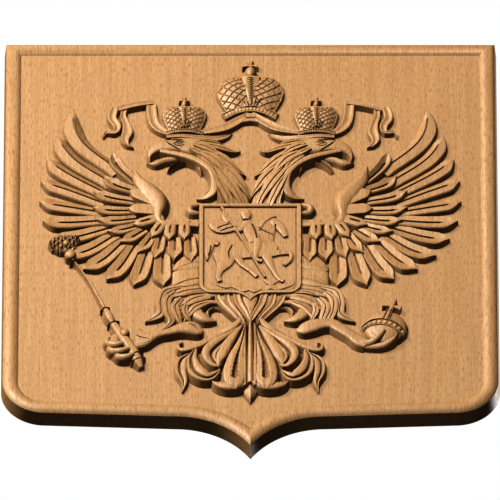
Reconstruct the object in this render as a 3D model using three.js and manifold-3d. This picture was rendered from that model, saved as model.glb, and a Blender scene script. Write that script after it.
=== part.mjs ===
// Carved coat of arms: a double-headed eagle in relief on a shield-shaped board, all one piece of beech.
// Millimetres, +Z up, +X to the right of someone looking at the front. The back lies in the plane y = 0,
// the front faces -Y, and the origin is the middle of the back, half way up.
import * as THREE from "three";
import { mergeVertices } from "three/addons/utils/BufferGeometryUtils.js";
import Module from "manifold-3d";

// The board
const boardWidth = 400;
const boardHeight = 450;
const fieldThickness = 13.5;
const edgeDraft = 1.4;
const beadWidth = 12.3;
const beadSlope = 45;
const beadSteps = 4;
const cornerRadius = 36;
const tipHalfWidth = 60;
const tipDrop = 33;
const footRise = 4;

// The eagle: its strokes are written in parts of its own height, and their crests in parts of its relief
const eagleHeight = 385;
const eagleCentreHeight = 14.5;
const reliefDepth = 10;
const keyDepth = 2;
const wallDraft = 0.27;
const leastTopShare = 0.45;
const joinTolerance = 0.35;
const mergeDistance = 0.0001;
const repeatDistance = 0.01;

// The small shield on the eagle's breast
const shieldWidth = 83;
const shieldHeight = 109;
const shieldPoint = 8.5;
const shieldCorner = 11;
const shieldFrameWidth = 4.4;
const shieldFrameHeight = 8.2;
const shieldPanelHeight = 6.6;
const shieldTopRise = 39;
const riderDrop = 8;
const figureHeight = 2.2;

// One part of the eagle's height and of its relief, and where its middle lies in its own coordinates
const unit = eagleHeight / 385;
const depthUnit = reliefDepth / 10;
const ownMiddle = 14.5;

const wasm = await Module();
wasm.setup();

// Cross-sections: how far across from the middle, and the share of the crest's height there
const roof = [[-1, 0.55], [0, 1], [1, 0.55]];
const blade = [[-1, 0.9], [0.3, 1], [1, 0.55]];
const arm = [[-1, 0.2], [-0.62, 0.94], [0, 1], [1, 0.86]];
const round = [[-1, 0.45], [-0.5, 0.92], [0.5, 0.92], [1, 0.45]];
const trough = [[-1, 1], [0, 0.74], [1, 1]];
const flat = [[-1, 1], [1, 1]];

// Several locks or feathers side by side in one stroke
function ridges(count, valley = 0.74) {
  const section = [[-1, 0.5]];
  for (let i = 1; i < 2 * count; i += 1) {
    section.push([-1 + i / count, i % 2 ? 1 : valley]);
  }
  return [...section, [1, 0.5]];
}

function solidFrom(geometry) {
  const bare = geometry.clone();
  bare.deleteAttribute("normal");
  bare.deleteAttribute("uv");
  const merged = mergeVertices(bare, mergeDistance);
  return new wasm.Manifold(new wasm.Mesh({
    numProp: 3,
    tolerance: joinTolerance,
    vertProperties: new Float32Array(merged.attributes.position.array),
    triVerts: new Uint32Array(merged.index.array),
  }));
}

function closedGeometry(points, faces) {
  const geometry = new THREE.BufferGeometry();
  geometry.setAttribute("position", new THREE.Float32BufferAttribute(points.flat(), 3));
  geometry.setIndex(faces.flat());
  return geometry;
}

// A point on the eagle, from its own coordinates and a height above the board's field
function onField(x, z, above) {
  return [x * unit, -(fieldThickness + above), (z - ownMiddle) * unit + eagleCentreHeight];
}

// One stroke of carving: a path of [x, z, half width, crest] rows with a cross-section swept along it
function stroke(path, section = roof) {
  const points = [];
  const ring = section.length + 2;
  const segments = path.length - 1;
  path.forEach(([x, z, width, crest], i) => {
    const [xa, za] = path[Math.max(0, i - 1)];
    const [xb, zb] = path[Math.min(segments, i + 1)];
    const length = Math.hypot(xb - xa, zb - za);
    const side = [(zb - za) / length, -(xb - xa) / length];
    const wallTop = crest * section[0][1];
    const run = Math.min(wallDraft * wallTop, width * (1 - leastTopShare));
    const foot = width + run * keyDepth / Math.max(wallTop, 1);
    points.push(onField(x - side[0] * foot, z - side[1] * foot, -keyDepth));
    section.forEach(([across, share]) => {
      const out = across * (width - run);
      points.push(onField(x + side[0] * out, z + side[1] * out, crest * share * depthUnit));
    });
    points.push(onField(x + side[0] * foot, z + side[1] * foot, -keyDepth));
  });
  const faces = [];
  for (let i = 0; i < segments; i += 1) {
    for (let j = 0; j < ring; j += 1) {
      const a = i * ring + j;
      const b = i * ring + (j + 1) % ring;
      faces.push([a, b, a + ring], [b, b + ring, a + ring]);
    }
  }
  const last = segments * ring;
  for (let j = 1; j < ring - 1; j += 1) {
    faces.push([0, j + 1, j], [last, last + j, last + j + 1]);
  }
  return solidFrom(closedGeometry(points, faces));
}

function mirrored(path) {
  return path.map(([x, ...rest]) => [-x, ...rest]);
}

// The same stroke on the left and on the right
function pair(path, section) {
  return [stroke(path, section), stroke(mirrored(path), section && mirrored(section).reverse())];
}

// A leaf from its root to its tip: it bows to one side and narrows to a point over its last stretch
const leafRows = { few: [0.25, 0.74, 1], some: [0.3, 0.8, 1], many: [0.2, 0.45, 0.72, 0.88, 1] };
const leafForm = {
  tip: 0.12, bluntTip: 0.3, root: 0.8, rootStretch: 0.6, tipDrop: 0.9, dropStretch: 5, sink: 2.2,
};

function leaf(root, tip, half, crest, bow, point, shares) {
  const [dx, dz] = [tip[0] - root[0], tip[1] - root[1]];
  const length = Math.hypot(dx, dz);
  const least = shares === leafRows.many ? leafForm.tip : leafForm.bluntTip;
  return shares.map((share) => {
    const ahead = (1 - share) * length;
    const narrow = Math.max(least, Math.sin(Math.PI / 2 * Math.min(1, ahead / point)));
    const lean = bow * Math.sin(Math.PI * share ** 1.3);
    return [
      root[0] + dx * share - dz / length * lean,
      root[1] + dz * share + dx / length * lean,
      half * narrow * (leafForm.root + (1 - leafForm.root) * Math.min(1, share / leafForm.rootStretch)),
      crest - leafForm.tipDrop * (1 - Math.min(1, ahead / leafForm.dropStretch))
        - leafForm.sink * (1 - share) ** 1.5,
    ];
  });
}

// A solid that stands on an outline, with rings of [inset, thickness] up to a flat top
function terraced(outline, rings, place) {
  const count = outline.length;
  const insetOutline = (distance) => outline.map((point, i) => {
    const before = outline[(i + count - 1) % count];
    const after = outline[(i + 1) % count];
    const into = point.clone().sub(before).normalize();
    const away = after.clone().sub(point).normalize();
    const normal = new THREE.Vector2(-into.y - away.y, into.x + away.x).normalize();
    const stretch = 1 / normal.dot(new THREE.Vector2(-into.y, into.x));
    return point.clone().addScaledVector(normal, distance * stretch);
  });
  const levels = rings.map(([inset]) => insetOutline(inset));
  const points = levels.flatMap((level, k) => level.map((p) => place(p, rings[k][1])));
  const faces = [];
  for (let k = 0; k < levels.length - 1; k += 1) {
    for (let i = 0; i < count; i += 1) {
      const a = k * count + i;
      const b = k * count + (i + 1) % count;
      faces.push([a, b, a + count], [b, b + count, a + count]);
    }
  }
  const top = (levels.length - 1) * count;
  THREE.ShapeUtils.triangulateShape(levels[0], []).forEach(([a, b, c]) => faces.push([a, c, b]));
  THREE.ShapeUtils.triangulateShape(levels.at(-1), [])
    .forEach(([a, b, c]) => faces.push([top + a, top + b, top + c]));
  return solidFrom(closedGeometry(points, faces));
}

// The board's outline, anticlockwise from the tip: square shoulders, round lower corners, a swept tip
function boardOutline() {
  const side = boardWidth / 2;
  const bottom = -boardHeight / 2;
  const footLevel = bottom + tipDrop;
  const cornerLevel = footLevel + footRise;
  const tipRadius = (tipHalfWidth ** 2 + tipDrop ** 2) / (2 * tipDrop);
  const tipAngle = Math.asin(tipHalfWidth / tipRadius);
  const shape = new THREE.Shape();
  shape.moveTo(0, bottom);
  shape.absarc(tipHalfWidth, footLevel - tipRadius, tipRadius, Math.PI / 2 + tipAngle, Math.PI / 2, true);
  shape.absarc(side - cornerRadius, cornerLevel + cornerRadius, cornerRadius, -Math.PI / 2, 0, false);
  shape.lineTo(side, boardHeight / 2);
  shape.lineTo(-side, boardHeight / 2);
  shape.absarc(-side + cornerRadius, cornerLevel + cornerRadius, cornerRadius, Math.PI, Math.PI * 1.5, false);
  shape.absarc(-tipHalfWidth, footLevel - tipRadius, tipRadius, Math.PI / 2, Math.PI / 2 - tipAngle, true);
  return withoutRepeats(shape.getPoints(4));
}

function withoutRepeats(points) {
  return points.filter((point, i) => point.distanceTo(points[(i + 1) % points.length]) > repeatDistance);
}

// The outer wall leans in a little, and a rounded bead runs round the sunk field
function board() {
  const slope = THREE.MathUtils.degToRad(beadSlope);
  const radius = beadWidth / 2 / Math.sin(slope);
  const rings = [[0, 0]];
  for (let i = 0; i <= beadSteps; i += 1) {
    const angle = slope * (2 * i / beadSteps - 1);
    const inset = edgeDraft + beadWidth / 2 + radius * Math.sin(angle);
    rings.push([inset, fieldThickness + radius * (Math.cos(angle) - Math.cos(slope))]);
  }
  return terraced(boardOutline(), rings, (p, thickness) => [p.x, -thickness, p.y]);
}

// Twelve flight feathers fan out of the wing's root, from nearly upright to hanging
const flight = {
  count: 12, bladeCount: 5, rootX: -80, rootZ: 27, rootShift: 9.5,
  firstAngle: 117.7, angleStep: 12.45, angleGrowth: 0.13,
  reach: 80, extraReach: 57, fade: 2.6, lastDrop: 3.6, hiddenShare: 0.42,
  half: 8.3, extraHalf: 0.9, halfFade: 3, point: 11.5, extraPoint: 13, pointFade: 1.1, crest: 5.6,
  bows: [12, 6.5, 2, -0.8, 0, 2.2, 3, 4.6, 3.6, 2.6, 1.2, -0.8], curvedBow: 5,
};

function flightFeathers() {
  const strokes = [];
  const last = flight.count - 1;
  for (let k = 0; k < flight.count; k += 1) {
    const degrees = flight.firstAngle + flight.angleStep * k + flight.angleGrowth * k * k;
    const angle = THREE.MathUtils.degToRad(degrees);
    const drop = flight.lastDrop * (k / last) ** 6;
    const reach = flight.reach + flight.extraReach * Math.exp(-k / flight.fade) - drop;
    const rootX = flight.rootX + flight.rootShift * (k / last) ** 4;
    const at = (share) => (
      [rootX + reach * share * Math.cos(angle), flight.rootZ + reach * share * Math.sin(angle)]
    );
    const half = flight.half + flight.extraHalf * Math.exp(-k / flight.halfFade);
    const point = flight.point + flight.extraPoint * Math.exp(-k / flight.pointFade);
    const bow = flight.bows[k];
    const shares = bow > flight.curvedBow ? leafRows.many : leafRows.some;
    const feather = leaf(at(flight.hiddenShare), at(1), half, flight.crest, bow, point, shares);
    strokes.push(...pair(feather, k < flight.bladeCount ? blade : trough));
  }
  return strokes;
}

// Eleven coverts lie over the flight feathers and six small ones over those: [root x, z, tip x, z, half]
const coverts = [
  [-92, 66, -111.8, 98.5, 6.3], [-93, 56, -118.3, 71.7, 6.6], [-94, 44, -126.7, 54.8, 6.4],
  [-93, 34, -127.2, 36.4, 6.2], [-92, 25, -123.1, 22.4, 6.4], [-88, 18, -115.8, 9.6, 6.2],
  [-85, 13, -105.3, -2.5, 6.8], [-78, 8, -91, -14.5, 6.6], [-72, 6, -77, -20.6, 6.6],
  [-61, 4, -61.3, -22.5, 7.4], [-48.5, 4, -47.6, -24.5, 6.8],
];
const smallCoverts = [
  [-78, 45, -96.4, 53, 5.8], [-76, 33, -98.5, 33.5, 6], [-75, 26, -94.4, 15.6, 6.2],
  [-72, 21, -79, 2.4, 6.2], [-64.5, 20, -65.2, -0.6, 5.9], [-53, 20, -53.2, 0, 6.1],
];
const covertForm = { crest: 7, bow: 3.5, bowStep: 0.35, point: 11, smallCrest: 8.4, smallPoint: 8 };

function wings() {
  const strokes = flightFeathers();
  coverts.forEach(([x, z, tipX, tipZ, half], k) => {
    const bow = covertForm.bow - covertForm.bowStep * k;
    const covert = leaf([x, z], [tipX, tipZ], half, covertForm.crest, bow, covertForm.point, leafRows.few);
    strokes.push(...pair(covert, trough));
  });
  smallCoverts.forEach(([x, z, tipX, tipZ, half]) => {
    const { smallCrest, smallPoint } = covertForm;
    strokes.push(...pair(leaf([x, z], [tipX, tipZ], half, smallCrest, 0, smallPoint, leafRows.few), roof));
  });
  const forearm = [
    [-94.6, 84, 0.8, 3], [-86.5, 65.5, 8.2, 7.4], [-80, 57.5, 10.2, 9], [-75, 48, 11, 9.6],
    [-75.8, 38.5, 10.2, 9.6], [-78, 21, 7, 8.4],
  ];
  const shoulder = [[-72, 16.5, 3.6, 7.4], [-42, 15.5, 3.6, 7.4]];
  return [...strokes, ...pair(forearm, arm), ...pair(shoulder, flat)];
}

// Head, beak and the locks of the neck
function heads() {
  const neck = [
    [-44, 102, 10, 8], [-34, 96, 11.5, 8.6], [-22, 80, 12.5, 8.8], [-15, 60, 13, 8.6], [-13, 36, 13.5, 8],
  ];
  const head = [
    [-34, 102, 9, 8], [-46, 105, 11, 8.8], [-58, 106, 9.5, 9.2], [-66, 106.3, 6.4, 9], [-74, 105, 6, 8.6],
    [-79.5, 100, 4.4, 7.6], [-81.3, 89, 0.5, 4.6],
  ];
  const jaw = [[-47, 91, 3, 5.4], [-68, 91, 4.6, 6], [-77, 86.5, 4, 5.8], [-84, 87.5, 0.6, 3.6]];
  const beard = [[-50, 91, 1.8, 5.4], [-62, 86, 2.6, 5.2], [-67, 78.5, 0.5, 3.6]];
  const throat = [[-46, 90, 3.4, 6.4], [-39.6, 75, 0.8, 4.4]];
  const cheek = [
    [-70, 101.5, 2.4, 8], [-48, 91, 3.8, 10.2], [-38, 83.5, 4, 10.2], [-31, 73, 4.2, 10],
    [-29, 58, 4.6, 9], [-43.5, 48, 0.8, 3.2],
  ];
  const lock = [[-42, 102, 2, 9], [-24, 92, 5, 10.4], [-13, 68, 0.8, 9]];
  const napeTips = [
    [[-41, 111, 2.6, 7.4], [-30, 110, 3, 6.6], [-18.5, 104.5, 0.6, 3.4]],
    [[-43, 107, 4, 8.2], [-20, 101.5, 3.6, 6.4], [-8, 101.5, 0.6, 3]],
    [[-22, 91, 4.6, 8], [-9, 76, 2.4, 6], [-4.5, 71, 0.6, 3.4]],
  ];
  const roofed = [jaw, beard, throat, cheek, lock, ...napeTips];
  return [...pair(neck, ridges(3)), ...pair(head, round), ...roofed.flatMap((path) => pair(path, roof))];
}

// A crown: a band, two swelling lobes with an arch between them, a ball and a small cross
function crown(middle, foot, halfBand, height, crest) {
  const at = (x, z, half, rise) => [middle + x * halfBand, foot + z * height, half * halfBand, rise * crest];
  const lobe = (side) => [
    at(side * 0.5, 0.04, 0.5, 0.58), at(side * 0.64, 0.4, 0.68, 0.92), at(side * 0.7, 0.66, 0.71, 1),
    at(side * 0.56, 0.92, 0.46, 0.86), at(side * 0.46, 1, 0.2, 0.7),
  ];
  const arch = [at(0, 0.14, 0.07, 0.9), at(0, 0.98, 0.4, 1.06)];
  const band = [at(-1.12, -0.13, 0.2, 0.7), at(-0.5, 0.01, 0.2, 0.8), at(0.5, 0.01, 0.2, 0.8),
    at(1.12, -0.13, 0.2, 0.7)];
  const ball = [at(0, 0.95, 0.16, 0.75), at(0, 1.12, 0.36, 1.15), at(0, 1.29, 0.14, 0.7)];
  const post = [at(0, 1.24, 0.07, 0.6), at(0, 1.52, 0.17, 0.6)];
  const arms = [at(-0.34, 1.38, 0.15, 0.6), at(0, 1.38, 0.07, 0.6), at(0.34, 1.38, 0.15, 0.6)];
  return [
    stroke(lobe(-1), round), stroke(lobe(1), round), stroke(arch, roof), stroke(band, roof),
    stroke(ball, roof), stroke(post, flat), stroke(arms, flat),
  ];
}

// The ribbon that ties the three crowns, with two tails on each side
function ribbon() {
  const paths = [
    [[-1, 143, 3, 5], [-9, 136, 4.6, 5], [-22, 127, 5, 5.2], [-42, 121, 3, 5]],
    [[-14.8, 123, 0.8, 3], [-21, 118, 2.8, 4], [-43, 116.6, 4.4, 7], [-67, 117, 4.4, 7.6]],
    [[-62, 120.5, 3, 4.4], [-70.5, 123.5, 4, 4.6], [-77, 130.5, 4.8, 4.8], [-79.6, 141, 5, 5],
      [-80.3, 154, 5, 5.2]],
    [[-78, 155, 3.2, 5.6], [-93, 152.6, 4, 5.8], [-107.5, 148, 4, 5.4]],
    [[-110, 149, 4.2, 5.6], [-112, 138, 4.4, 5.2], [-108, 129, 4.2, 5.2], [-110, 122.5, 3, 4.8],
      [-119, 117, 0.8, 3]],
    [[-102, 151, 3.4, 4.6], [-103, 140.5, 3.4, 4.8], [-99.5, 122.5, 5.2, 5.2], [-101.5, 114.5, 4.2, 5],
      [-94.5, 105.6, 0.8, 3]],
  ];
  const knot = [[-4, 140, 3.6, 6], [4, 140, 3.6, 6]];
  const swag = [[-9, 134, 2.4, 4.6], [9, 134, 2.4, 4.6]];
  return [...paths.flatMap((path) => pair(path, flat)), stroke(knot, flat), stroke(swag, flat)];
}

// Thighs of layered feathers, the scrolls beside the tail and the tail itself
function hindquarters() {
  const thigh = [[-44, -16, 8, 4.6], [-50, -32, 13, 5], [-50, -60, 14, 5.6], [-55, -86, 5, 4.8]];
  const layers = [
    [[-36, -40, 8, 5.8], [-52, -45, 8, 6.8], [-65, -52.6, 0.8, 5.4]],
    [[-35, -57, 8, 6], [-53, -61, 8, 7.4], [-70, -68, 0.8, 6]],
    [[-34, -70, 5, 6.8], [-45, -76, 6, 7.8], [-55.2, -94.8, 0.8, 6]],
  ];
  const locks = [
    [[-60, -54, 2, 6.4], [-72, -62, 3.6, 6.8], [-73, -83, 4, 6.4], [-84, -89.6, 0.6, 3.6]],
    [[-60, -60, 3, 7], [-67, -70, 3.6, 7.6], [-64.5, -88, 3.6, 7], [-71, -98.4, 0.6, 3.8]],
    [[-55, -67, 3, 7.4], [-61, -76, 3.6, 8], [-54.6, -96, 0.6, 5]],
  ];
  const scroll = [
    [-18, -72, 2.4, 5.4], [-31, -68.5, 3.6, 6], [-42.5, -75, 6.4, 7], [-39, -86, 6.4, 7],
    [-27, -89.5, 1.6, 5],
  ];
  const stems = [
    [[-23, -60, 4, 6], [-21, -70, 4.2, 6.6], [-4.5, -96, 1.8, 6.8]],
    [[-12, -60, 4, 7], [-10.5, -72, 4.2, 8], [0, -92, 2, 8.4]],
    [[-9, -90, 2.4, 6.6], [-15, -97, 3, 6], [-27, -102.5, 0.8, 4]],
  ];
  const tail = [
    [[-7, -97, 2, 7], [-27, -120, 8, 8.8], [-32, -132, 8.6, 8.8], [-19.5, -144, 1.6, 6]],
    [[-45, -122, 2.4, 6.6], [-46, -138, 7, 8.4], [-38, -152, 8, 8.4], [-25, -144, 1.2, 5.6]],
  ];
  const sideLeaves = [
    [[-9, -95, 1.6, 6], [-26, -107, 3.6, 6.8], [-48, -120.5, 4.8, 7], [-58, -118, 2.4, 6.2]],
    [[-48, -126, 2.4, 5.4], [-55.5, -140, 5.8, 6.4], [-54.6, -166.5, 0.6, 3.8]],
  ];
  const fan = [
    [-3.5, -95, 2.2, 8.4], [-10, -128, 8.8, 10], [-13.8, -154, 12.6, 10.2], [-13, -170, 5, 7.6],
  ];
  const shaft = [[0, -66, 2.2, 8], [0, -96, 3, 9.8], [0, -154, 5.4, 10.4]];
  const pendant = [[0, -153, 0.4, 3], [0, -165.5, 6.4, 6.4], [0, -178, 0.4, 3]];
  const roofed = [...layers, ...locks, ...stems, ...sideLeaves];
  return [
    ...pair(thigh, round), ...roofed.flatMap((path) => pair(path, roof)), ...pair(scroll, round),
    ...tail.flatMap((path) => pair(path, round)), ...pair(fan, roof),
    stroke(shaft, roof), stroke(pendant, roof),
  ];
}

// The leg on the left holds the sceptre
function sceptre() {
  const leg = [
    [-37.5, -101, 3, 5.6], [-42, -100.6, 7.4, 7.4], [-49, -98, 8.9, 8], [-65, -102.8, 5.6, 7.8],
    [-78, -107.5, 6.4, 7.6], [-92, -109.2, 14, 7],
  ];
  const rod = [[-142, -18, 1.8, 4.4], [-116.5, -71, 2.8, 5]];
  const grip = [
    [-117, -69, 3, 6], [-115.5, -75, 4.4, 7.2], [-113, -81, 3.4, 6.6], [-109.4, -92.2, 5, 7.6],
    [-92.4, -129, 6.3, 8.4], [-87.4, -141, 3, 5.6],
  ];
  const palm = [[-106, -104, 3, 6], [-109, -113, 7.4, 6.8], [-106, -122, 8, 6.8], [-101, -130, 4, 6]];
  const toes = [
    [[-109, -107, 2.4, 7], [-113, -113.6, 3.8, 8.6], [-101, -115.4, 3.6, 10.6]],
    [[-113, -114.4, 2.4, 7], [-112, -120, 3.8, 8.6], [-98, -121.4, 3.6, 10.6]],
    [[-111.5, -120.6, 2.4, 6.6], [-108, -126.4, 3.8, 8.4], [-95.6, -127.4, 3.4, 10.2]],
  ];
  const egg = [[-142, -18, 1.6, 4], [-144, -14, 4.8, 7], [-146.5, -9, 2.4, 5]];
  const finial = [[-147, -9, 3, 5.4], [-150, -4, 7.4, 7.6], [-153, 2, 8, 7.6], [-155.5, 8, 3, 5.4]];
  return [
    stroke(leg, round), stroke(rod, roof), stroke(grip, roof), stroke(palm, round), stroke(egg, roof),
    stroke(finial, ridges(2)), ...toes.map((path) => stroke(path, roof)),
  ];
}

// The leg on the right holds the orb
const orbForm = { x: 108.3, z: -95.5, radius: 19.4, crest: 9.4 };
const orbRing = [-80, -50, -20, 20, 50, 80];

function orb() {
  const leg = [
    [37.5, -101, 3, 5.6], [42, -99.6, 7, 7], [50, -96, 8.4, 8], [65, -93.7, 6.8, 8], [80.6, -105.9, 6.6, 7.6],
    [93.6, -116, 6, 7],
  ];
  const globe = orbRing.map((degrees) => {
    const angle = THREE.MathUtils.degToRad(degrees);
    const out = Math.max(0.2, Math.cos(angle));
    return [orbForm.x, orbForm.z + orbForm.radius * Math.sin(angle), orbForm.radius * out,
      orbForm.crest * (0.45 + 0.55 * out)];
  });
  const girdle = [[89.4, -97, 3, 7], [100, -94.6, 4.4, 10.4], [113.7, -97.7, 4.4, 10.8], [126, -108.6, 3, 7]];
  const meridian = [[108.6, -92.5, 3.8, 10.8], [112.4, -77, 2.8, 6.8]];
  const post = [[112.2, -79, 1.8, 5], [115, -69.5, 2.8, 5]];
  const arms = [[107.6, -73, 2.4, 5], [113.6, -75, 1.4, 5], [119.6, -77, 2.4, 5]];
  const toes = [
    [[88, -114, 4.4, 7.2], [101, -115.6, 4.2, 8.6], [107.6, -105, 1.4, 10.8]],
    [[93, -118, 3, 5.4], [109, -116, 3.6, 7.6], [118, -106.6, 1, 9.6]],
  ];
  return [
    stroke(leg, round), stroke(globe, round), stroke(girdle, flat), stroke(meridian, flat),
    stroke(post, flat), stroke(arms, flat), ...toes.map((path) => stroke(path, roof)),
  ];
}

// The breast shield: a frame round a sunk panel
function breastShield() {
  const side = shieldWidth / 2 / unit;
  const top = shieldTopRise;
  const level = top - (shieldHeight - shieldPoint) / unit;
  const drop = shieldPoint / unit;
  const corner = shieldCorner / unit;
  const shape = new THREE.Shape();
  shape.moveTo(0, level - drop);
  shape.quadraticCurveTo(drop * 0.6, level, drop * 1.7, level);
  shape.absarc(side - corner, level + corner, corner, -Math.PI / 2, 0, false);
  shape.lineTo(side, top);
  shape.lineTo(-side, top);
  shape.absarc(-side + corner, level + corner, corner, Math.PI, Math.PI * 1.5, false);
  shape.lineTo(-drop * 1.7, level);
  shape.quadraticCurveTo(-drop * 0.6, level, 0, level - drop);
  const rings = [
    [-0.1 * shieldFrameWidth, -keyDepth], [0.3 * shieldFrameWidth, shieldFrameHeight],
    [0.77 * shieldFrameWidth, shieldFrameHeight * 0.97], [shieldFrameWidth, shieldPanelHeight],
  ];
  return terraced(withoutRepeats(shape.getPoints(2)), rings, (p, above) => onField(p.x, p.y, above));
}

// A rider with a lance on a walking horse, over a small dragon, in low relief on the panel
function rider() {
  const crest = (share) => (shieldPanelHeight + figureHeight * share) / depthUnit;
  const limb = (rows) => rows.map(([x, z, half, share = 1]) => [x, z - riderDrop, half, crest(share)]);
  const edge = crest(0.2) / crest(1);
  const low = [[-1, edge], [0, 1], [1, edge]];
  const horse = [
    [[-26, -6, 5], [-16, -6, 9], [8, -3, 8], [22, -5, 5]],
    [[10, 4, 8], [15, 22, 5.4], [19, 29, 3.4]],
    [[17, 28, 3.4], [23, 21, 4], [28, 9, 1.8]],
    [[18, -8, 3.4], [32, -8, 1.8], [28, -21, 1.6]],
    [[13, -10, 3.6], [17, -22, 2], [26, -40, 1.8]],
    [[-21, -10, 5], [-26, -28, 2], [-25, -40, 2]],
    [[-16, -10, 4], [4, -35, 1.8]],
    [[-26, 0, 2], [-32, -3, 2.8], [-34.5, -19, 0.8]],
  ];
  const figure = [
    [[-1, 2, 4.4], [-4, 26, 4]],
    [[-3.5, 28, 2.6], [-3.5, 35, 3.8]],
    [[0, 14, 3, 1.4], [3, -12, 2.2, 1.4], [8, -18, 1.5, 1.2]],
    [[-4, 22, 3], [-20, 23, 8], [-31, 20, 1]],
    [[-20, 26, 2], [-20, 39, 1.4]],
    [[-20, 39, 1, 1.2], [9, -36, 1, 1.3]],
  ];
  const dragon = [
    [[12, -50, 1], [22, -46, 2.6], [33, -37, 1]],
    [[-27, -45, 1], [-12, -46.5, 2.2], [8, -48, 1.6]],
  ];
  return [...horse, ...figure, ...dragon].map((path) => stroke(limb(path), low));
}

function carving() {
  const solids = [
    board(), ...wings(), ...heads(), ...ribbon(), ...hindquarters(), ...sceptre(), ...orb(),
    ...crown(-53.5, 124.5, 13, 24, 8), ...crown(53.5, 124.5, 13, 24, 8), ...crown(0, 145.5, 19.5, 37, 9),
    breastShield(), ...rider(), ...pair([[-40, 35.5, 5, 6.2], [-50, 35.5, 5.6, 6.4]], round),
  ];
  const mesh = wasm.Manifold.union(solids).getMesh();
  const geometry = new THREE.BufferGeometry();
  geometry.setAttribute("position", new THREE.BufferAttribute(new Float32Array(mesh.vertProperties), 3));
  geometry.setIndex(new THREE.BufferAttribute(new Uint32Array(mesh.triVerts), 1));
  return geometry;
}

const beech = new THREE.MeshStandardMaterial({ color: 0xdcaa78, roughness: 0.55, metalness: 0 });
const plaque = new THREE.Mesh(carving(), beech);
plaque.name = "carved_plaque";

const coatOfArms = new THREE.Group();
coatOfArms.add(plaque);
export default coatOfArms;
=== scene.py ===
# Carved coat of arms in beech: the fine carving, the wood and the studio round it
from math import asin, cos, exp, hypot, pi, radians, sin
import bpy
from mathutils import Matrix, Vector


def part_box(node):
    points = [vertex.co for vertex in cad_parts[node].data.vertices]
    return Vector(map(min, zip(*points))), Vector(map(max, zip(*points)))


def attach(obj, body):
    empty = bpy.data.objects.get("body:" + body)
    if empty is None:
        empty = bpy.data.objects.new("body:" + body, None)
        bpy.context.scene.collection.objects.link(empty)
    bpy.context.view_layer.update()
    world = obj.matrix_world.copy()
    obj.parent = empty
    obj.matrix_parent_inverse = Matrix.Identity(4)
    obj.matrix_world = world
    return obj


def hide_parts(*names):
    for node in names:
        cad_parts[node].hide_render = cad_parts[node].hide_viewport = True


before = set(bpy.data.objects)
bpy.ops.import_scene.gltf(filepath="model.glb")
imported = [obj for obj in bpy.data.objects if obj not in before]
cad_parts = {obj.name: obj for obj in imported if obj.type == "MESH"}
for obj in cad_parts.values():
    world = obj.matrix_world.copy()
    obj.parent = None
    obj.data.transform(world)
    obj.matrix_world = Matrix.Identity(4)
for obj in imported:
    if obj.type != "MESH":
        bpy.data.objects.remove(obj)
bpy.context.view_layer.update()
bpy.ops.object.select_all(action="DESELECT")

lowCorner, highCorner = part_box("carved_plaque")
part = (highCorner.z - lowCorner.z) / 450      # the carving is laid out in 450ths of the plaque's height

board = {
    "halfWidth": (highCorner.x - lowCorner.x) / 2 / part,
    "halfHeight": 225,
    "field": 13.5,             # thickness of the sunk field and of the outer edge
    "edgeDraft": 1.4,          # how far the outer wall leans in
    "beadWidth": 12.3,
    "beadSlope": 45,           # how steeply the rim's bead meets the field
    "beadSteps": 8,
    "cornerRadius": 36,
    "tipHalfWidth": 60,
    "tipDrop": 33,
    "footRise": 4,
    "pointsPerArc": 26,
    "cell": 13,                # the wide faces are cut into cells of this size
    "cellShift": 0.37,
    "flatFrom": 0.9999,        # a face is flat where its normal's y share is more than this
}
wall = {
    "draft": 0.24,             # how far a stroke's wall leans out for each unit of its height
    "share": 0.8,              # the wall's height as a share of the crest
    "key": 2.0,                # how deep a stroke reaches into the board
    "leastTop": 0.45,          # the least share of its half width that a stroke keeps on top
}


# Places, outlines and shells

def onField(x, z, above):
    return (x * part, -(board["field"] + above) * part, z * part)


# A quarter circle about x, z, from straight below it round to its right
def quarterCircle(x, z, radius, steps):
    angles = [radians(-90 + 90 * i / steps) for i in range(steps + 1)]
    return [(x + radius * cos(angle), z + radius * sin(angle)) for angle in angles]


# The right half of an outline, from its tip up, and its mirror image back down
def bothHalves(half):
    return half + [(-x, z) for x, z in reversed(half[1:])]


def selectOnly(thing):
    bpy.ops.object.select_all(action="DESELECT")
    thing.select_set(True)
    bpy.context.view_layer.objects.active = thing


# In edit mode, turns every face outwards
def faceOutwards():
    bpy.ops.mesh.select_all(action="SELECT")
    bpy.ops.mesh.normals_make_consistent(inside=False)
    bpy.ops.object.mode_set(mode="OBJECT")


# Rings of equal length, laid on a grid that is rolled up, merged along its seam and capped at both ends
def rolledShell(name, rings):
    around = len(rings[0])
    bpy.ops.mesh.primitive_grid_add(x_subdivisions=around, y_subdivisions=len(rings) - 1, size=2)
    shell = bpy.context.object
    shell.name = name
    places = [value for ring in rings for point in ring + ring[:1] for value in point]
    shell.data.vertices.foreach_set("co", places)
    bpy.ops.object.mode_set(mode="EDIT")
    bpy.ops.mesh.select_all(action="SELECT")
    bpy.ops.mesh.remove_doubles(threshold=1e-7)
    bpy.ops.mesh.fill_holes(sides=0)
    faceOutwards()
    return shell


# The board

def boardRing(inset, thickness):
    tipWidth, drop = board["tipHalfWidth"], board["tipDrop"]
    side, corner, steps = board["halfWidth"], board["cornerRadius"], board["pointsPerArc"]
    tipRadius = (tipWidth ** 2 + drop ** 2) / (2 * drop)
    footLevel = -board["halfHeight"] + drop
    sweep = tipRadius + inset
    start = asin(min(1, tipWidth / sweep))
    half = []
    for i in range(steps + 1):
        angle = start * (1 - i / steps)
        half.append((tipWidth - sweep * sin(angle), footLevel - tipRadius + sweep * cos(angle)))
    half += quarterCircle(side - corner, footLevel + board["footRise"] + corner, corner - inset, steps)
    topLevel = board["halfHeight"] - max(0, inset - board["edgeDraft"])      # the top wall is upright
    half.append((side - inset, topLevel))
    return [(x * part, -thickness * part, z * part) for x, z in bothHalves(half)]


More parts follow.
